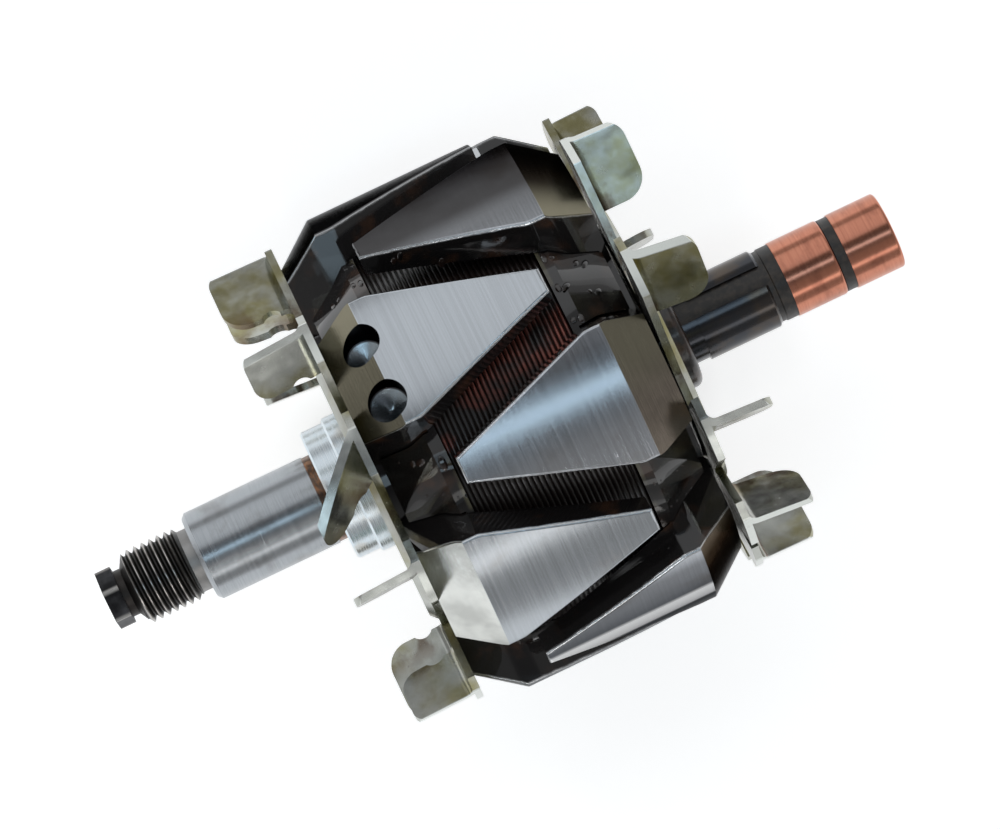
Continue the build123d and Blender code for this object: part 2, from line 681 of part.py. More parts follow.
def lug_block(lead_name, clearance):
    """The solder lug under a ring, or with a clearance the pocket that it sits in."""
    plane = Plane(
        origin=(lead_targets[lead_name], 0, 0),
        x_dir=(1, 0, 0),
        z_dir=around(lead_angles[lead_name], 1),
    )
    with BuildPart() as block:
        with BuildSketch(plane.offset(lug_floor - clearance)):
            Rectangle(LUG_LENGTH + 2 * clearance, LUG_WIDTH + 2 * clearance)
        extrude(amount=ring_bore - lug_floor + RING_WALL / 2)
    return block.part


with BuildPart() as slip_ring_moulding:
    with BuildSketch(Plane.XY) as moulding_section:
        with BuildLine():
            Polyline(
                (ring_journal_end, 0),
                (ring_journal_end, MOULDING_NECK_RADIUS),
                (shoulder_start, MOULDING_NECK_RADIUS),
                (shoulder_start, MOULDING_SHOULDER_RADIUS),
                (inner_ring_start, MOULDING_SHOULDER_RADIUS),
                (inner_ring_start, ring_bore),
                (inner_ring_end, ring_bore),
                (inner_ring_end, RING_RADIUS - SEPARATOR_STEP),
                (outer_ring_start, RING_RADIUS - SEPARATOR_STEP),
                (outer_ring_start, ring_bore),
                (outer_ring_end, ring_bore),
                (outer_ring_end, 0),
                close=True,
            )
        make_face()
        shoulder = moulding_section.vertices().filter_by(
            lambda v: abs(v.X - shoulder_start) < PICK_TOLERANCE
        )
        shoulder = shoulder.sort_by(Axis.Y)[-1]
        chamfer(shoulder, MOULDING_SHOULDER_RADIUS - MOULDING_NECK_RADIUS)
    revolve(axis=Axis.X)
    with BuildSketch(Plane.YZ.offset(ring_journal_end)):
        Circle(TAIL_RADIUS)
    extrude(amount=tail_end - ring_journal_end, mode=Mode.SUBTRACT)
    for tunnel in lead_tunnels:
        add(tunnel, mode=Mode.SUBTRACT)
    for lead_name in lead_angles:
        add(lug_block(lead_name, LEAD_CLEARANCE), mode=Mode.SUBTRACT)
slip_ring_moulding.part.label = "slip_ring_moulding"

finished = [
    shaft.part,
    drive_end_pole.part,
    slip_ring_end_pole.part,
    field_core.part,
    coil_bobbin.part,
    field_winding.part,
    spacer_collar.part,
    drive_end_fan.part,
    slip_ring_end_fan.part,
    lead_retainer.part,
    slip_ring_moulding.part,
]

# Slip rings, each with the lug that its lead is soldered to
for ring_name, (ring_start, ring_length, lead_name) in ring_spans.items():
    with BuildPart() as slip_ring:
        with BuildSketch(Plane.YZ.offset(ring_start)):
            Circle(RING_RADIUS)
        extrude(amount=ring_length)
        fillet(slip_ring.faces().sort_by(Axis.X)[-1].edges(), RING_END_CORNER)
        with BuildSketch(Plane.YZ.offset(ring_start)):
            Circle(ring_bore)
        extrude(amount=ring_length, mode=Mode.SUBTRACT)
        add(lug_block(lead_name, 0))
    slip_ring.part.label = ring_name
    finished.append(slip_ring.part)

# Leads from the coil to the slip rings, and the black filler that closes the slots over them
for lead_name, angle in lead_angles.items():
    lead_end = lead_targets[lead_name] + LUG_LENGTH / 2 - LEAD_CLEARANCE
    with BuildPart() as lead:
        add(spin_about_shaft(lead_solid(LEAD_RADIUS, lead_end, lead_name), angle))
    lead.part.label = lead_name
    finished.append(lead.part)
    slot_plane = Plane(origin=(retainer_end, 0, 0), x_dir=(1, 0, 0), z_dir=around(angle, 1))
    filler_length = ring_journal_end - retainer_end
    with BuildPart() as filler:
        with BuildSketch(Plane.YZ.offset(retainer_end)):
            Circle(RING_JOURNAL_RADIUS - RELIEF_STEP - FILLER_SINK)
        extrude(amount=filler_length)
        with BuildSketch(slot_plane.offset(lug_floor)):
            Rectangle(filler_length, SLOT_WIDTH, align=(Align.MIN, Align.CENTER))
        extrude(amount=RING_JOURNAL_RADIUS, mode=Mode.INTERSECT)
    filler.part.label = lead_name.replace("lead", "slot_filler")
    finished.append(filler.part)

os.makedirs("parts", exist_ok=True)
for piece in finished:
    export_step(piece, "parts/" + piece.label + ".step")
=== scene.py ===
# %% [markdown]
# # An alternator rotor, dressed for a product photograph
# The solids come from the CAD model: a forged shaft, two claw poles, two sheet fans and two slip rings.
# This script gives each of them the surface it has on a real rotor that has been turned, dipped in
# varnish and handled, adds the pieces that only show in a close look, and lights it like a studio shot.
# All lengths in the comments are millimetres. Blender works in metres, so `MM` turns one into the other.

# %% Load the frame
import math
import bpy
from mathutils import Matrix, Vector


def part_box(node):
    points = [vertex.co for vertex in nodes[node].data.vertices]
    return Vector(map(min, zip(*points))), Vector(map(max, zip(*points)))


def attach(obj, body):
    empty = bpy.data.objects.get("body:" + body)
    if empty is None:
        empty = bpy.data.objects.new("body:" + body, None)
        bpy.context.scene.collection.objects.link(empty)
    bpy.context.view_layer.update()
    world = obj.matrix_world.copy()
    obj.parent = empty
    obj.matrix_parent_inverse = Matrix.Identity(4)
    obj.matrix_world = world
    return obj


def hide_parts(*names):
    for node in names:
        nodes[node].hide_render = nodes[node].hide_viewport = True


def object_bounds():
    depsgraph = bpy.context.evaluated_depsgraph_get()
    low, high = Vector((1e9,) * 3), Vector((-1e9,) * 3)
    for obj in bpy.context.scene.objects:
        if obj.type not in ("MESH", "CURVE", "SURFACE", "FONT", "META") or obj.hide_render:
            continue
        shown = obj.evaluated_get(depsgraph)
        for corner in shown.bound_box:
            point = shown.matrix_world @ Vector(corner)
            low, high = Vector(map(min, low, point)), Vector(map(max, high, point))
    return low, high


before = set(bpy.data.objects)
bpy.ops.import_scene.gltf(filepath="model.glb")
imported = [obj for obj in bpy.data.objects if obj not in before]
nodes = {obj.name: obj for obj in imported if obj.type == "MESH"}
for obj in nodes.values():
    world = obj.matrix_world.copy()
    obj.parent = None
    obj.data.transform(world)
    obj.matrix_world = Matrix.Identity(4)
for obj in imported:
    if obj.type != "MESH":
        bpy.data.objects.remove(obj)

MM = 0.001
cad_low, cad_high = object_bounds()
print("frame:", len(nodes), "solids, box", [round(v / MM, 1) for v in cad_high - cad_low], "mm")

# %% [markdown]
# ## Where things are along the shaft
# Several finishes change at a shoulder of the shaft or at the rim of a claw, so those stations are
# measured from the loaded solids once, here, instead of being typed again in each material.

# %% Stations along the shaft
body_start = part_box("drive_end_pole")[0].x / MM
body_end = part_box("slip_ring_end_fan")[0].x / MM - 0.9
body_middle = (body_start + body_end) / 2
rotor_radius = 46.5
claw_count = 6
drive_claw_angle = 22.6
hole_station = 6.8
hole_radius = 3.6
hole_angles = (drive_claw_angle - 9.2, drive_claw_angle + 5.2)
cone_length = 8.0
cone_drop = 6.1
collar_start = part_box("spacer_collar")[0].x / MM
winding_low, winding_high = [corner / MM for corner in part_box("field_winding")]
print("claws from", round(body_start, 2), "to", round(body_end, 2))
print("winding radius", round(winding_high.z, 2))

# %% [markdown]
# ## A short way to write material nodes
# Every finish below is a Principled shader fed by a few maths, noise and mix nodes. Writing each node
# out takes four or five lines, which hides the idea, so this small class gives each kind of node one
# short call. It reads Object coordinates, scaled to millimetres, so a pattern has its real size and
# stays in place when the piece is looked at from another side.

# %% The finish class
class Finish:
    """A material under construction, with its coordinates in millimetres about the shaft axis."""

    def __init__(self, name, **sockets):
        self.material = bpy.data.materials.new(name)
        self.material.use_nodes = True
        self.tree = self.material.node_tree
        self.shader = self.tree.nodes["Principled BSDF"]
        for socket, value in sockets.items():
            self.shader.inputs[socket.replace("_", " ")].default_value = value
        coords = self.add("ShaderNodeTexCoord")
        self.place = self.vector("SCALE", coords.outputs["Object"], scale=1 / MM)
        split = self.add("ShaderNodeSeparateXYZ")
        self.join(self.place, split.inputs[0])
        self.x, self.y, self.z = split.outputs
        self.radius = self.length(self.y, self.z)
        turned = self.math("ARCTAN2", self.y, self.z)
        self.angle = self.times(turned, 180 / math.pi)

    def add(self, kind, **settings):
        node = self.tree.nodes.new(kind)
        for key, value in settings.items():
            setattr(node, key, value)
        return node

    def join(self, source, socket):
        """Links a node's output to the socket, or sets the socket when the source is a plain value."""
        if isinstance(source, bpy.types.NodeSocket):
            self.tree.links.new(source, socket)
        else:
            socket.default_value = source

    def math(self, operation, *values):
        node = self.add("ShaderNodeMath", operation=operation)
        for value, socket in zip(values, node.inputs):
            self.join(value, socket)
        return node.outputs[0]

    def plus(self, first, second):
        return self.math("ADD", first, second)

    def minus(self, first, second):
        return self.math("SUBTRACT", first, second)

    def times(self, first, second):
        return self.math("MULTIPLY", first, second)

    def length(self, first, second):
        """How long the diagonal of two distances is."""
        return self.math("SQRT", self.plus(self.times(first, first), self.times(second, second)))

    def vector(self, operation, first, second=None, scale=None):
        node = self.add("ShaderNodeVectorMath", operation=operation)
        self.join(first, node.inputs[0])
        if second is not None:
            self.join(second, node.inputs[1])
        if scale is not None:
            node.inputs["Scale"].default_value = scale
        return node.outputs[0]

    def ease(self, value, start, end):
        """0 at start and 1 at end, with a smooth step between. It also runs downwards."""
        node = self.add("ShaderNodeMapRange", interpolation_type="SMOOTHSTEP")
        for source, socket in zip((value, start, end, 0.0, 1.0), node.inputs):
            self.join(source, socket)
        if start > end:
            for source, socket in zip((end, start, 1.0, 0.0), list(node.inputs)[1:5]):
                self.join(source, socket)
        return node.outputs[0]

    def between(self, value, rise, fall):
        """1 between two smooth steps: up from rise[0] to rise[1], and down from fall[0] to fall[1]."""
        return self.times(self.ease(value, *rise), self.ease(value, fall[1], fall[0]))

    def noise(self, per_mm, detail=3.0, rough=0.55, seed=0.0):
        """Cloudy noise from 0 to 1, which varies per_mm times in a millimetre along X, Y and Z."""
        stretched = self.vector("MULTIPLY", self.place, per_mm)
        moved = self.vector("ADD", stretched, (seed, seed * 1.7, seed * 0.6))
        node = self.add("ShaderNodeTexNoise")
        self.join(moved, node.inputs["Vector"])
        node.inputs["Scale"].default_value = 1.0
        node.inputs["Detail"].default_value = detail
        node.inputs["Roughness"].default_value = rough
        return node.outputs[0]

    def mix(self, factor, first, second):
        node = self.add("ShaderNodeMix", data_type="RGBA")
        self.join(factor, node.inputs[0])
        for colour, socket in ((first, node.inputs[6]), (second, node.inputs[7])):
            self.join((*colour, 1.0) if isinstance(colour, tuple) else colour, socket)
        return node.outputs[2]

    def lerp(self, factor, first, second):
        node = self.add("ShaderNodeMix", data_type="FLOAT")
        for source, number in ((factor, 0), (first, 2), (second, 3)):
            self.join(source, node.inputs[number])
        return node.outputs[0]

    def bump(self, height, depth_mm, strength=1.0, normal=None):
        node = self.add("ShaderNodeBump")
        node.inputs["Strength"].default_value = strength
        node.inputs["Distance"].default_value = depth_mm * MM
        self.join(height, node.inputs["Height"])
        if normal is not None:
            self.join(normal, node.inputs["Normal"])
        return node.outputs[0]

    def feed(self, **sockets):
        for socket, source in sockets.items():
            self.join(source, self.shader.inputs[socket.replace("_", " ")])
        return self.material


def dress(material, *names):
    """Puts a finish on CAD nodes, in place of the plain one they came with."""
    for name in names:
        slots = nodes[name].data.materials
        slots.clear()
        slots.append(material)
    print(material.name, "on", ", ".join(names))


# %% [markdown]
# ## Claw poles: turned steel over black varnish
# A pole is forged, pressed on the shaft and dipped in varnish. Last of all the whole rotor is turned to
# size, so bare steel shows only on the skin of the claws and on the cone at each end, and everything
# below that skin stays black and glossy. The finish is therefore one material with a depth test: how
# far a point lies below the turned skin. The turning marks are very fine, about ten to the millimetre,
# so from arm's length they blur into a sheen that stretches along the shaft. Only a few wider bands,
# where the tool chattered, can be told apart. Round the upper side of the rotor and on the lower claws
# the bare steel is painted near black, as painted shade, and low down a bright line is a painted highlight.

# %% Claw pole finish
def turned_skin(finish, cone_at_start):
    """How deep a point lies under the turned skin of a pole, and 1 where that skin is the cone."""
    if cone_at_start:
        along = finish.minus(finish.x, body_start)
    else:
        along = finish.minus(body_end, finish.x)
    missing = finish.math("MAXIMUM", finish.minus(cone_length, along), 0.0)
    skin = finish.minus(rotor_radius, finish.times(missing, cone_drop / cone_length))
    return finish.minus(skin, finish.radius), finish.ease(missing, 0.0, 0.12)


def drilled_wall(finish, angle, depth):
    """1 on the wall and the cone of one balance hole, and how far the point is from the hole's axis."""
    turn = math.radians(angle)
    sideways = finish.times(finish.y, math.cos(turn))
    sideways = finish.plus(sideways, finish.times(finish.z, -math.sin(turn)))
    along = finish.minus(finish.x, body_start + hole_station)
    away = finish.length(along, sideways)
    facing = finish.ease(finish.math("ABSOLUTE", finish.minus(finish.angle, angle)), 12.0, 10.0)
    here = finish.times(finish.ease(away, hole_radius + 0.15, hole_radius + 0.05), facing)
    return finish.times(here, finish.ease(depth, 0.02, 0.2)), away


def pole_finish(name, cone_at_start, bright, cone_colour, hole_angles=()):
    finish = Finish(name, Specular_Tint=(0.16, 0.16, 0.16, 1.0), Coat_Roughness=0.04)
    depth, on_cone = turned_skin(finish, cone_at_start)
    ragged = finish.times(finish.noise((0.5, 0.5, 0.5), 4.0, seed=3.0), 0.5)
    bare = finish.ease(finish.plus(depth, ragged), 0.95, 0.55)
    lines = finish.noise((9.0, 0.03, 0.03), 2.0, 0.6, seed=1.0)
    bands = finish.noise((2.4, 0.012, 0.012), 3.0, 0.7, seed=8.0)
    patches = finish.noise((0.05, 0.06, 0.06), 4.0, 0.6, seed=5.0)
    steel = finish.mix(finish.ease(bands, 0.3, 0.72), tuple(0.86 * c for c in bright), bright)
    brownish = finish.times(finish.ease(patches, 0.52, 0.75), 0.5)
    steel = finish.mix(brownish, steel, (0.27, 0.24, 0.21))
    cone = finish.mix(finish.ease(patches, 0.42, 0.62), cone_colour, tuple(0.7 * c for c in cone_colour))
    # Painted shade: the cone is painted darker and browner over its upper side, from about 2 degrees round
    # the axis.
    cone = finish.mix(finish.ease(finish.angle, -14.0, 2.0), cone, (0.21, 0.195, 0.145))
    steel = finish.mix(on_cone, steel, cone)
    # Painted shade: round the upper side and on the lower claws the bare steel is painted near black,
    # standing in for the dark room it would reflect.
    upper = finish.between(finish.angle, (37.0, 50.0), (98.0, 114.0))
    lower = finish.times(finish.ease(finish.angle, -51.0, -57.0), 0.62)
    painted_shade = finish.times(finish.math("MAXIMUM", upper, lower), finish.lerp(patches, 0.86, 1.0))
    steel = finish.mix(painted_shade, steel, (0.040, 0.037, 0.036))
    # Painted highlight: a near-white line is painted along the lower claws at a fixed angle, standing in
    # for a reflected lamp.
    painted_highlight = finish.between(finish.angle, (-75.5, -73.5), (-69.0, -66.5))
    painted_highlight = finish.times(painted_highlight, finish.ease(on_cone, 1.0, 0.0))
    steel = finish.mix(painted_highlight, steel, (0.97, 0.97, 0.97))
    edge = finish.times(finish.ease(depth, 0.04, 0.2), bare)
    steel = finish.mix(finish.times(edge, 0.5), steel, (0.72, 0.73, 0.74))
    holes = None
    for angle in hole_angles:
        inside, away = drilled_wall(finish, angle, depth)
        on_point = finish.ease(away, hole_radius - 0.1, hole_radius - 0.4)
        # Painted shade: the wall of each balance hole is painted near black; the drill point at the bottom
        # keeps a bright steel colour.
        hole_wall_shade = finish.mix(on_point, (0.05, 0.05, 0.052), (0.46, 0.53, 0.58))
        holes = inside if holes is None else finish.math("MAXIMUM", holes, inside)
        steel = finish.mix(inside, steel, hole_wall_shade)
    varnish_clouds = finish.noise((0.16, 0.16, 0.16), 3.0, seed=11.0)
    varnish_clouds = finish.ease(varnish_clouds, 0.52, 0.75)
    varnish = finish.mix(varnish_clouds, (0.010, 0.009, 0.009), (0.045, 0.022, 0.013))
    metal = bare if holes is None else finish.math("MAXIMUM", bare, holes)
    colour = finish.mix(metal, varnish, steel)
    rough = finish.lerp(metal, 0.08, finish.plus(finish.times(bands, 0.12), 0.16))
    drips = finish.noise((0.12, 0.14, 0.14), 0.0, seed=2.0)
    marks = finish.plus(finish.times(lines, 0.018), finish.times(bands, 0.003))
    relief = finish.lerp(metal, drips, marks)
    wet = finish.minus(1.0, metal)
    relief = finish.bump(relief, 1.0)
    return finish.feed(Base_Color=colour, Metallic=metal, Roughness=rough, Coat_Weight=wet, Normal=relief)


drive_pole_steel = pole_finish(
    "turned steel, drive end", True, (0.47, 0.50, 0.53), (0.68, 0.69, 0.66), hole_angles
)
ring_pole_steel = pole_finish("turned steel, slip ring end", False, (0.45, 0.47, 0.50), (0.24, 0.205, 0.17))
dress(drive_pole_steel, "drive_end_pole")
dress(ring_pole_steel, "slip_ring_end_pole")

# %% [markdown]
# ## Bobbin: black moulding under pooled varnish
# The bobbin's petals fill the valleys between the claws. They are black plastic, but what the eye sees
# is the varnish that ran down over them: glossy, lumpy, with brown where it is thick and an olive
# plastic showing at the thin flange edges.

# %% Bobbin finish
bobbin = Finish("varnished bobbin", Roughness=0.07, Coat_Weight=0.5, Coat_Roughness=0.03)
clouds = bobbin.noise((0.1, 0.1, 0.1), 4.0, seed=4.0)
black = bobbin.mix(bobbin.ease(clouds, 0.5, 0.72), (0.007, 0.006, 0.006), (0.050, 0.022, 0.011))
rim_patches = bobbin.ease(bobbin.noise((0.08, 0.1, 0.1), 3.0, seed=9.0), 0.5, 0.62)
rim = bobbin.times(bobbin.ease(bobbin.radius, 39.2, 39.6), rim_patches)
from_middle = bobbin.math("ABSOLUTE", bobbin.minus(bobbin.x, (winding_low.x + winding_high.x) / 2))
half_span = (winding_high.x - winding_low.x) / 2
rim = bobbin.times(rim, bobbin.ease(from_middle, half_span + 0.9, half_span + 0.3))
black = bobbin.mix(bobbin.times(rim, 0.7), black, (0.11, 0.10, 0.06))
side = bobbin.lerp(bobbin.ease(bobbin.x, body_middle - 0.1, body_middle + 0.1), 1.0, -1.0)
between_claws = bobbin.minus(bobbin.angle, drive_claw_angle + 30.0)
between_claws = bobbin.times(between_claws, math.radians(claw_count))
swell = bobbin.times(bobbin.math("COSINE", between_claws), side)
pools = bobbin.noise((0.07, 0.09, 0.09), 0.0, seed=6.0)
surface = bobbin.plus(bobbin.times(swell, 0.8), pools)
dress(bobbin.feed(Base_Color=black, Normal=bobbin.bump(surface, 2.0)), "coil_bobbin")

# %% [markdown]
# The varnish also hardened in beads and short runs, which give the valleys their small sharp glints. They
# could be a bump, but a bead throws its own highlight from every side only if it is real. One flattened
# ball is shaped, a ray is sent in towards the shaft at each spot, and where it meets varnish first, on the
# bobbin or well below the turned skin of a pole, a copy is laid on the surface. The spots step round by
# the golden angle, so they never line up.

# %% Varnish beads
bead_radius = 0.55
bead_flatness = 0.36
spot_count = 900
golden_angle = 137.508
spot_step = 7.31
bpy.ops.object.select_all(action="DESELECT")
bpy.ops.mesh.primitive_uv_sphere_add(segments=14, ring_count=8, radius=bead_radius * MM, location=(0, 0, 0))
beads = bpy.context.object
beads.name = "varnish_beads"
bpy.ops.object.mode_set(mode="EDIT")
bpy.ops.mesh.select_all(action="SELECT")
bpy.ops.transform.resize(value=(1.0, 1.0, bead_flatness))
bpy.ops.object.mode_set(mode="OBJECT")
bpy.ops.object.shade_smooth()
bead_mesh = beads.data.copy()
beads.data.clear_geometry()
copies = []
varnished = [nodes[name].name for name in ("coil_bobbin", "slip_ring_end_pole")]
depsgraph = bpy.context.evaluated_depsgraph_get()
for spot in range(spot_count):
    turned = math.radians(golden_angle * spot)
    out = Vector((0, math.sin(turned), math.cos(turned)))
    along = body_start + 4.0 + (spot_step * spot) % (body_end - body_start - 8.0)
    start = out * (rotor_radius + 5.0) * MM + Vector((along * MM, 0, 0))
    hit, place, normal, face, met, matrix = bpy.context.scene.ray_cast(depsgraph, start, -out)
    to_end = min(along - body_start, body_end - along)
    skin = rotor_radius - max(cone_length - to_end, 0.0) * cone_drop / cone_length
    if not hit or met.name not in varnished or not 33.0 < place.yz.length / MM < skin - 1.5:
        continue
    size = 0.35 + 0.9 * math.modf(spot * 0.618)[0] ** 3
    bead = bpy.data.objects.new("bead", bead_mesh.copy())
    bpy.context.collection.objects.link(bead)
    stretched = Matrix.Diagonal((size * (1 + spot % 3 * 0.6), size, size, 1.0))
    outwards = normal.to_track_quat("Z", "X").to_matrix().to_4x4()
    bead.matrix_world = Matrix.Translation(place) @ outwards @ stretched
    copies.append(bead)
bpy.ops.object.select_all(action="DESELECT")
for bead in copies:
    bead.select_set(True)
beads.select_set(True)
bpy.context.view_layer.objects.active = beads
bpy.ops.object.join()
lacquer = Finish("varnish beads", Roughness=0.05, Coat_Weight=0.5, Coat_Roughness=0.03)
depth_clouds = lacquer.ease(lacquer.noise((0.2, 0.2, 0.2), 2.0, seed=4.0), 0.45, 0.65)
amber = lacquer.mix(depth_clouds, (0.007, 0.006, 0.006), (0.022, 0.012, 0.009))
beads.data.materials.clear()
beads.data.materials.append(lacquer.feed(Base_Color=amber))
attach(beads, "root")
print("varnish beads:", len(copies), "with", len(beads.data.polygons), "faces")

# %% [markdown]
# ## Winding: turns of enamelled wire
# In the CAD model the winding is one plain ring. Its turns could be painted on with a bump, but they
# catch the light between the claws, so here they are real ridges. One circle is added for each turn of
# the outer layer as a section, the whole section is spun around the shaft, and the ring is closed.

# %% Winding turns
wire_diameter = 0.95
turn_count = int((winding_high.x - winding_low.x) / wire_diameter)
wire_pitch = (winding_high.x - winding_low.x) / turn_count
wire_radius = wire_pitch / 2
band_depth = 6.0
ridge_share = 0.98
steps_per_ridge = 4
section = [(winding_low.x, winding_high.z - band_depth)]
for turn in range(turn_count):
    middle = winding_low.x + (turn + 0.5) * wire_pitch
    for step in range(steps_per_ridge + 1):
        around_wire = math.pi * (1 - step / steps_per_ridge)
        ridge_x = middle + wire_radius * math.cos(around_wire) * ridge_share
        ridge_z = winding_high.z - wire_radius + wire_radius * math.sin(around_wire)
        section.append((ridge_x, ridge_z))
section.append((winding_high.x, winding_high.z - band_depth))
mesh = bpy.data.meshes.new("winding_turns")
points = [(x * MM, 0, r * MM) for x, r in section]
mesh.from_pydata(points, [(i, i + 1) for i in range(len(points) - 1)] + [(len(points) - 1, 0)], [])
winding = bpy.data.objects.new("winding_turns", mesh)
bpy.context.collection.objects.link(winding)
bpy.ops.object.select_all(action="DESELECT")
winding.select_set(True)
bpy.context.view_layer.objects.active = winding
bpy.ops.object.mode_set(mode="EDIT")
bpy.ops.mesh.select_all(action="SELECT")
bpy.ops.mesh.spin(steps=144, angle=math.tau, center=(0, 0, 0), axis=(1, 0, 0))
bpy.ops.mesh.select_all(action="SELECT")
bpy.ops.mesh.remove_doubles(threshold=0.01 * MM)
bpy.ops.mesh.normals_make_consistent(inside=False)
bpy.ops.object.mode_set(mode="OBJECT")
bpy.ops.object.shade_smooth_by_angle(angle=math.radians(50))
print("winding:", turn_count, "turns on the outer layer,", len(mesh.polygons), "faces")

# %% [markdown]
# The enamel is a clear brown-red lacquer over copper. Metal with a reddish colour gives the pink glints
# of the real wire, and a cloudy mask darkens it where varnish has filled the grooves.

# %% Winding finish
enamel = Finish("enamelled copper wire", Coat_Weight=0.3, Coat_Roughness=0.08)
window_angle = 9.0
window_count = 3
from_window = enamel.times(enamel.minus(enamel.angle, window_angle), math.radians(window_count))
window = enamel.math("COSINE", from_window)
soaked = enamel.noise((0.1, 0.12, 0.12), 4.0, seed=2.0)
soaked = enamel.plus(soaked, enamel.times(enamel.ease(window, 0.85, 0.55), 0.3))
valley = enamel.ease(enamel.radius, winding_high.z - 0.4, winding_high.z - 0.05)
wire = enamel.mix(valley, (0.014, 0.007, 0.006), (0.21, 0.062, 0.045))
wire = enamel.mix(enamel.ease(soaked, 0.36, 0.54), wire, (0.012, 0.007, 0.006))
shine = enamel.ease(soaked, 0.56, 0.36)
glint = enamel.times(shine, 0.75)
wire_rough = enamel.lerp(shine, 0.34, 0.27)
winding.data.materials.append(enamel.feed(Base_Color=wire, Metallic=glint, Roughness=wire_rough))
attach(winding, "root")
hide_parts("field_winding")

# %% [markdown]
# ## Fans: zinc-plated sheet with a yellow passivate
# The plating is a soft, slightly greenish mirror. Passivate leaves it blotchy: paler and bluer in some
# places, straw and olive in others. Near the roots of the blades it is stained brown, and small dark
# specks sit where the plating is bruised.

# %% Fan finish
plating = Finish("passivated zinc sheet", Metallic=1.0)
blotches = plating.noise((0.07, 0.07, 0.07), 4.0, 0.6, seed=7.0)
fine = plating.noise((0.35, 0.35, 0.35), 4.0, 0.6, seed=1.0)
sheet = plating.mix(plating.ease(blotches, 0.40, 0.66), (0.41, 0.42, 0.39), (0.27, 0.25, 0.13))
sheet = plating.mix(plating.times(plating.ease(fine, 0.4, 0.7), 0.3), sheet, (0.49, 0.50, 0.47))
stains = plating.ease(plating.noise((0.16, 0.12, 0.12), 4.0, seed=12.0), 0.45, 0.6)
rooted = plating.between(plating.radius, (27.0, 31.0), (33.0, 39.5))
roots = plating.times(rooted, stains)
sheet = plating.mix(plating.times(roots, 0.8), sheet, (0.11, 0.065, 0.035))
bruises = plating.ease(plating.noise((1.1, 1.1, 1.1), 3.0, 0.7, seed=3.0), 0.68, 0.76)
sheet = plating.mix(plating.times(bruises, 0.6), sheet, (0.10, 0.09, 0.07))
cut = plating.ease(plating.radius, 44.45, 44.6)
sheet = plating.mix(cut, sheet, (0.58, 0.60, 0.57))
sheet_rough = plating.plus(plating.times(fine, 0.2), 0.14)
waves = plating.noise((0.1, 0.1, 0.1), 2.0, 0.4, seed=5.0)
plated_sheet = plating.feed(Base_Color=sheet, Roughness=sheet_rough, Normal=plating.bump(waves, 0.5))
dress(plated_sheet, "drive_end_fan", "slip_ring_end_fan")

# %% [markdown]
# ## Shaft: one bar, many finishes
# The bar is black at its hexagon, dark with shiny crests on the thread, ground grey on the journals and
# left rough and rusty in the narrow band before the collar. One material holds them all: each zone is
# a step along X, so the borders fall exactly on the shoulders of the solid.

# %% Shaft finish
def zone(finish, start, end, soft=0.12):
    """1 between two stations along the shaft."""
    return finish.between(finish.x, (start - soft, start + soft), (end - soft, end + soft))


bar = Finish("shaft steel", Metallic=1.0)
grinding = bar.noise((8.0, 0.05, 0.05), 2.0, 0.6, seed=1.0)
dull = bar.noise((0.1, 0.1, 0.1), 4.0, 0.6, seed=6.0)
ground = bar.mix(bar.ease(grinding, 0.3, 0.7), (0.32, 0.34, 0.36), (0.39, 0.41, 0.43))
ground = bar.mix(bar.times(bar.ease(dull, 0.5, 0.7), 0.5), ground, (0.20, 0.195, 0.19))
crest = bar.ease(bar.radius, 6.45, 6.98)
thread = bar.mix(crest, (0.035, 0.032, 0.030), (0.40, 0.38, 0.36))
colour = bar.mix(zone(bar, -28.0, -12.1), ground, thread)
undercut = bar.mix(dull, (0.10, 0.10, 0.10), (0.45, 0.44, 0.43))
colour = bar.mix(zone(bar, -14.4, -12.1), colour, undercut)
blacked = bar.mix(bar.ease(dull, 0.4, 0.7), (0.012, 0.012, 0.013), (0.07, 0.07, 0.075))
blacked = bar.mix(bar.ease(bar.radius, 5.35, 5.65), blacked, (0.30, 0.29, 0.28))
colour = bar.mix(zone(bar, -40.0, -27.3), colour, blacked)
rust_clouds = bar.ease(bar.noise((1.2, 0.5, 0.5), 4.0, seed=4.0), 0.4, 0.65)
rust = bar.mix(rust_clouds, (0.10, 0.07, 0.055), (0.26, 0.13, 0.07))
colour = bar.mix(zone(bar, 12.05, 14.2), colour, rust)
browned = bar.mix(bar.ease(dull, 0.42, 0.66), (0.050, 0.052, 0.058), (0.085, 0.070, 0.058))
colour = bar.mix(zone(bar, 78.0, 101.0), colour, browned)
rough = bar.plus(bar.times(grinding, 0.1), 0.2)
rough = bar.lerp(zone(bar, -40.0, -12.1), rough, bar.lerp(crest, 0.45, 0.28))
rough = bar.lerp(zone(bar, 78.0, 101.0), rough, 0.17)
dress(bar.feed(Base_Color=colour, Roughness=rough, Normal=bar.bump(grinding, 0.01)), "shaft")

# %% [markdown]
# ## Collar, retainer and slip rings
# The collar is bright zinc with turning marks. The retainer and the moulding behind the rings are dark
# plastic. The rings are copper, turned true after moulding.

# %% Collar finish
collar = Finish("bright zinc collar", Metallic=1.0)
marks = collar.noise((7.0, 0.05, 0.05), 3.0, 0.6, seed=2.0)
film = collar.noise((0.15, 0.15, 0.15), 3.0, seed=5.0)
zinc = collar.mix(collar.ease(marks, 0.3, 0.7), (0.58, 0.65, 0.70), (0.70, 0.76, 0.80))
zinc = collar.mix(collar.times(collar.ease(film, 0.5, 0.68), 0.5), zinc, (0.50, 0.45, 0.38))
zinc_rough = collar.plus(collar.times(marks, 0.2), 0.16)
bright_zinc = collar.feed(Base_Color=zinc, Roughness=zinc_rough, Normal=collar.bump(marks, 0.01))
dress(bright_zinc, "spacer_collar")

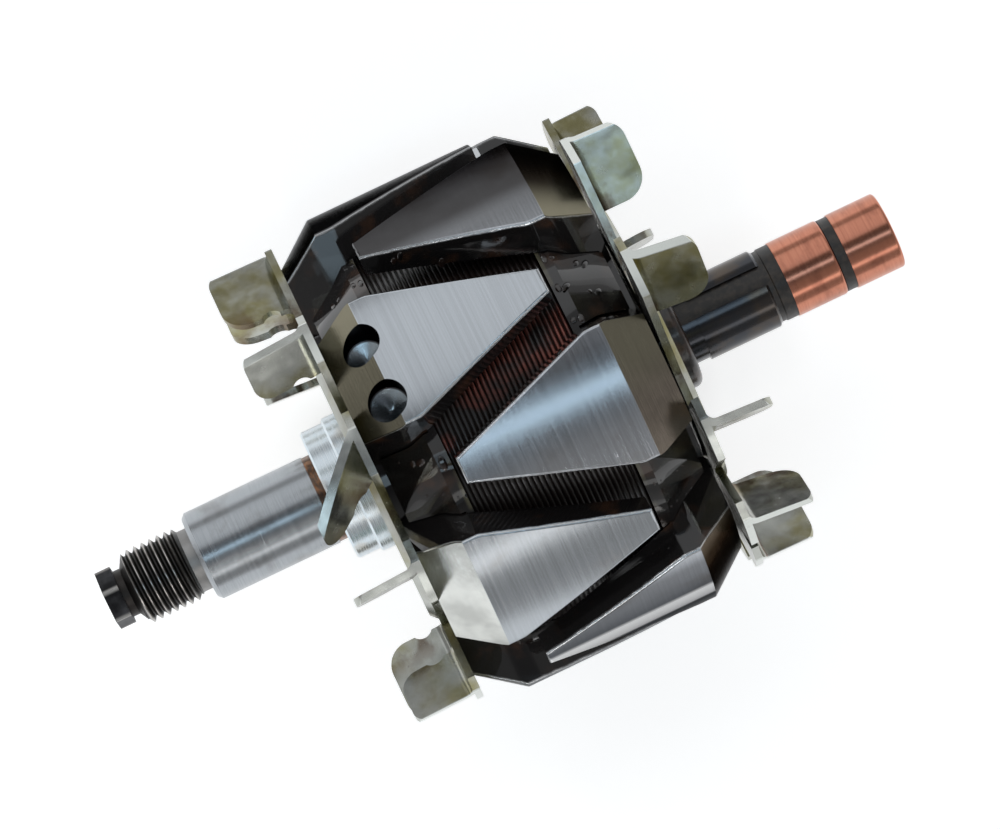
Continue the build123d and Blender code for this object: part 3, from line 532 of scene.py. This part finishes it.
# %% Dark moulded pieces
phenolic = Finish("dark moulding", Roughness=0.42)
grain = phenolic.noise((0.8, 0.8, 0.8), 4.0, seed=3.0)
dark = phenolic.mix(phenolic.ease(grain, 0.4, 0.7), (0.012, 0.010, 0.009), (0.035, 0.026, 0.02))
dark_moulding = phenolic.feed(Base_Color=dark, Normal=phenolic.bump(grain, 0.05))
dress(dark_moulding, "slip_ring_moulding", "start_slot_filler", "finish_slot_filler")

resin = Finish("brown resin retainer", Roughness=0.3, Coat_Weight=0.3, Coat_Roughness=0.1)
swirl = resin.noise((0.3, 0.3, 0.3), 4.0, seed=8.0)
tan = resin.mix(resin.ease(swirl, 0.4, 0.65), (0.012, 0.009, 0.008), (0.060, 0.032, 0.02))
dress(resin.feed(Base_Color=tan, Normal=resin.bump(swirl, 0.2)), "lead_retainer")

# %% Slip ring finish
copper = Finish("turned copper", Metallic=1.0)
turning = copper.noise((8.0, 0.04, 0.04), 2.0, 0.6, seed=3.0)
tarnish = copper.noise((0.25, 0.12, 0.12), 4.0, 0.6, seed=9.0)
red = copper.mix(copper.ease(turning, 0.3, 0.7), (0.48, 0.185, 0.12), (0.58, 0.25, 0.165))
red = copper.mix(copper.times(copper.ease(tarnish, 0.5, 0.7), 0.5), red, (0.26, 0.095, 0.065))
copper_rough = copper.plus(copper.times(turning, 0.08), 0.16)
turned_copper = copper.feed(Base_Color=red, Roughness=copper_rough, Normal=copper.bump(turning, 0.004))
dress(turned_copper, "slip_ring_inner", "slip_ring_outer")

# %% [markdown]
# The leads and the field core sit inside. They hardly show, but every solid gets a finish of its own.

# %% Hidden pieces
lead_enamel = Finish("lead enamel", Roughness=0.25, Metallic=0.6)
lead_clouds = lead_enamel.noise((0.6, 0.6, 0.6), 3.0)
lead_tint = lead_enamel.mix(lead_clouds, (0.16, 0.05, 0.025), (0.30, 0.11, 0.06))
dress(lead_enamel.feed(Base_Color=lead_tint), "start_lead", "finish_lead")
core = Finish("dark core steel", Metallic=1.0)
core_marks = core.noise((2.0, 0.2, 0.2), 3.0)
core_grey = core.mix(core_marks, (0.1, 0.1, 0.1), (0.22, 0.22, 0.22))
dress(core.feed(Base_Color=core_grey, Roughness=core.lerp(core_marks, 0.35, 0.55)), "field_core")

# %% [markdown]
# ## Floor and light
# The rotor lies on its claws on a pale sheet. A big bluish softbox on the far side lights the upper
# flanks, a narrow strip above gives the long highlight on the claw that faces the camera, and the rest
# of the room is a plain grey that gets darker overhead, so that turned steel has something dark to
# reflect. Radiance is set first and turned into lamp power by the lamp's area.

# %% Floor
floor_height = cad_low.z - 0.02 * MM
bpy.ops.object.select_all(action="DESELECT")
bpy.ops.mesh.primitive_plane_add(size=12.0, location=(0.05, 0, floor_height))
floor = bpy.context.object
floor.name = "floor"
sheet_white = bpy.data.materials.new("pale floor")
sheet_white.use_nodes = True
tree = sheet_white.node_tree
paper = tree.nodes["Principled BSDF"]
paper.inputs["Base Color"].default_value = (0.86, 0.86, 0.86, 1)
paper.inputs["Roughness"].default_value = 0.9
paper.inputs["Specular IOR Level"].default_value = 0.1
rays = tree.nodes.new("ShaderNodeLightPath")
seen = tree.nodes.new("ShaderNodeMath")
seen.operation = "MAXIMUM"
tree.links.new(rays.outputs["Is Camera Ray"], seen.inputs[0])
tree.links.new(rays.outputs["Is Glossy Ray"], seen.inputs[1])
level = tree.nodes.new("ShaderNodeMath")
level.operation = "MULTIPLY"
level.inputs[1].default_value = 0.56
tree.links.new(seen.outputs[0], level.inputs[0])
paper.inputs["Emission Color"].default_value = (1, 1, 1, 1)
tree.links.new(level.outputs[0], paper.inputs["Emission Strength"])
floor.data.materials.append(sheet_white)

# %% Room
world = bpy.data.worlds.new("studio")
bpy.context.scene.world = world
world.use_nodes = True
sky = world.node_tree
backdrop = sky.nodes["Background"]
direction = sky.nodes.new("ShaderNodeTexCoord")
split = sky.nodes.new("ShaderNodeSeparateXYZ")
sky.links.new(direction.outputs["Generated"], split.inputs[0])
ramp = sky.nodes.new("ShaderNodeValToRGB")
sky.links.new(split.outputs["Z"], ramp.inputs[0])
ramp.color_ramp.elements[0].position = 0.0
ramp.color_ramp.elements[0].color = (0.50, 0.50, 0.50, 1)
ramp.color_ramp.elements[1].position = 0.97
ramp.color_ramp.elements[1].color = (0.10, 0.10, 0.105, 1)
for position, grey in ((0.25, 0.34), (0.5, 0.36), (0.88, 0.30)):
    step = ramp.color_ramp.elements.new(position)
    step.color = (grey, grey, grey, 1)
sky.links.new(ramp.outputs[0], backdrop.inputs["Color"])
backdrop.inputs["Strength"].default_value = 1.0


# %% Softboxes
def softbox(name, location, target, size, radiance, colour):
    """A rectangular lamp turned towards a point. Its power is radiance times area times pi."""
    lamp = bpy.data.lights.new(name, "AREA")
    lamp.shape = "RECTANGLE"
    lamp.size, lamp.size_y = size
    lamp.color = colour
    lamp.energy = radiance * math.pi * size[0] * size[1]
    holder = bpy.data.objects.new(name, lamp)
    bpy.context.collection.objects.link(holder)
    holder.location = location
    holder.rotation_mode = "QUATERNION"
    holder.rotation_quaternion = (Vector(target) - Vector(location)).to_track_quat("-Z", "Y")
    holder.visible_camera = False
    print(name, "power", round(lamp.energy, 2), "W")


middle = (body_middle * MM, 0, 0)
softbox("far softbox", (0.0, 0.78, 0.78), middle, (1.6, 1.15), 0.60, (0.94, 0.97, 1.0))
softbox("overhead strip", (0.05, -0.15, 1.15), middle, (1.6, 0.14), 2.2, (0.66, 0.86, 1.0))
softbox("near strip", (0.05, -0.92, 0.62), middle, (1.6, 0.20), 1.35, (1.0, 0.99, 0.97))
softbox("near key", (-0.35, -0.80, 0.85), middle, (0.12, 0.30), 14.0, (1.0, 0.99, 0.97))
softbox("low key", (-0.75, -0.85, 0.25), middle, (0.5, 0.07), 8.0, (0.80, 0.90, 1.0))
softbox("far key", (-0.45, 0.75, 0.60), middle, (0.10, 0.30), 12.0, (0.92, 0.96, 1.0))

# %% [markdown]
# ## Camera
# The photograph looks straight down on the rotor from about a metre. Its nearest point of the shaft is
# the drive-end fan, which shows exactly edge-on, and the shaft climbs to the right by 25.5 degrees.

# %% Camera
roll = math.radians(25.5)
camera_place = Vector((23.3, 0.0, 960.0)) * MM
aim = Vector((47.85, 0.0, 0.0)) * MM
across_view = 180.3 * MM
camera = bpy.data.cameras.new("camera")
camera.sensor_width = 36.0
camera.lens = camera.sensor_width * (camera_place - aim).length / across_view
camera.clip_start, camera.clip_end = 0.05, 50.0
view = bpy.data.objects.new("camera", camera)
bpy.context.collection.objects.link(view)
backwards = (camera_place - aim).normalized()
upwards = Vector((math.sin(roll), math.cos(roll), 0))
rightwards = upwards.cross(backwards).normalized()
upwards = backwards.cross(rightwards)
turn_camera = Matrix((rightwards, upwards, backwards)).transposed().to_4x4()
view.matrix_world = Matrix.Translation(camera_place) @ turn_camera
bpy.context.scene.camera = view
bpy.context.scene.view_settings.view_transform = "Standard"
print("lens", round(camera.lens, 1), "mm on a 36 mm sensor")
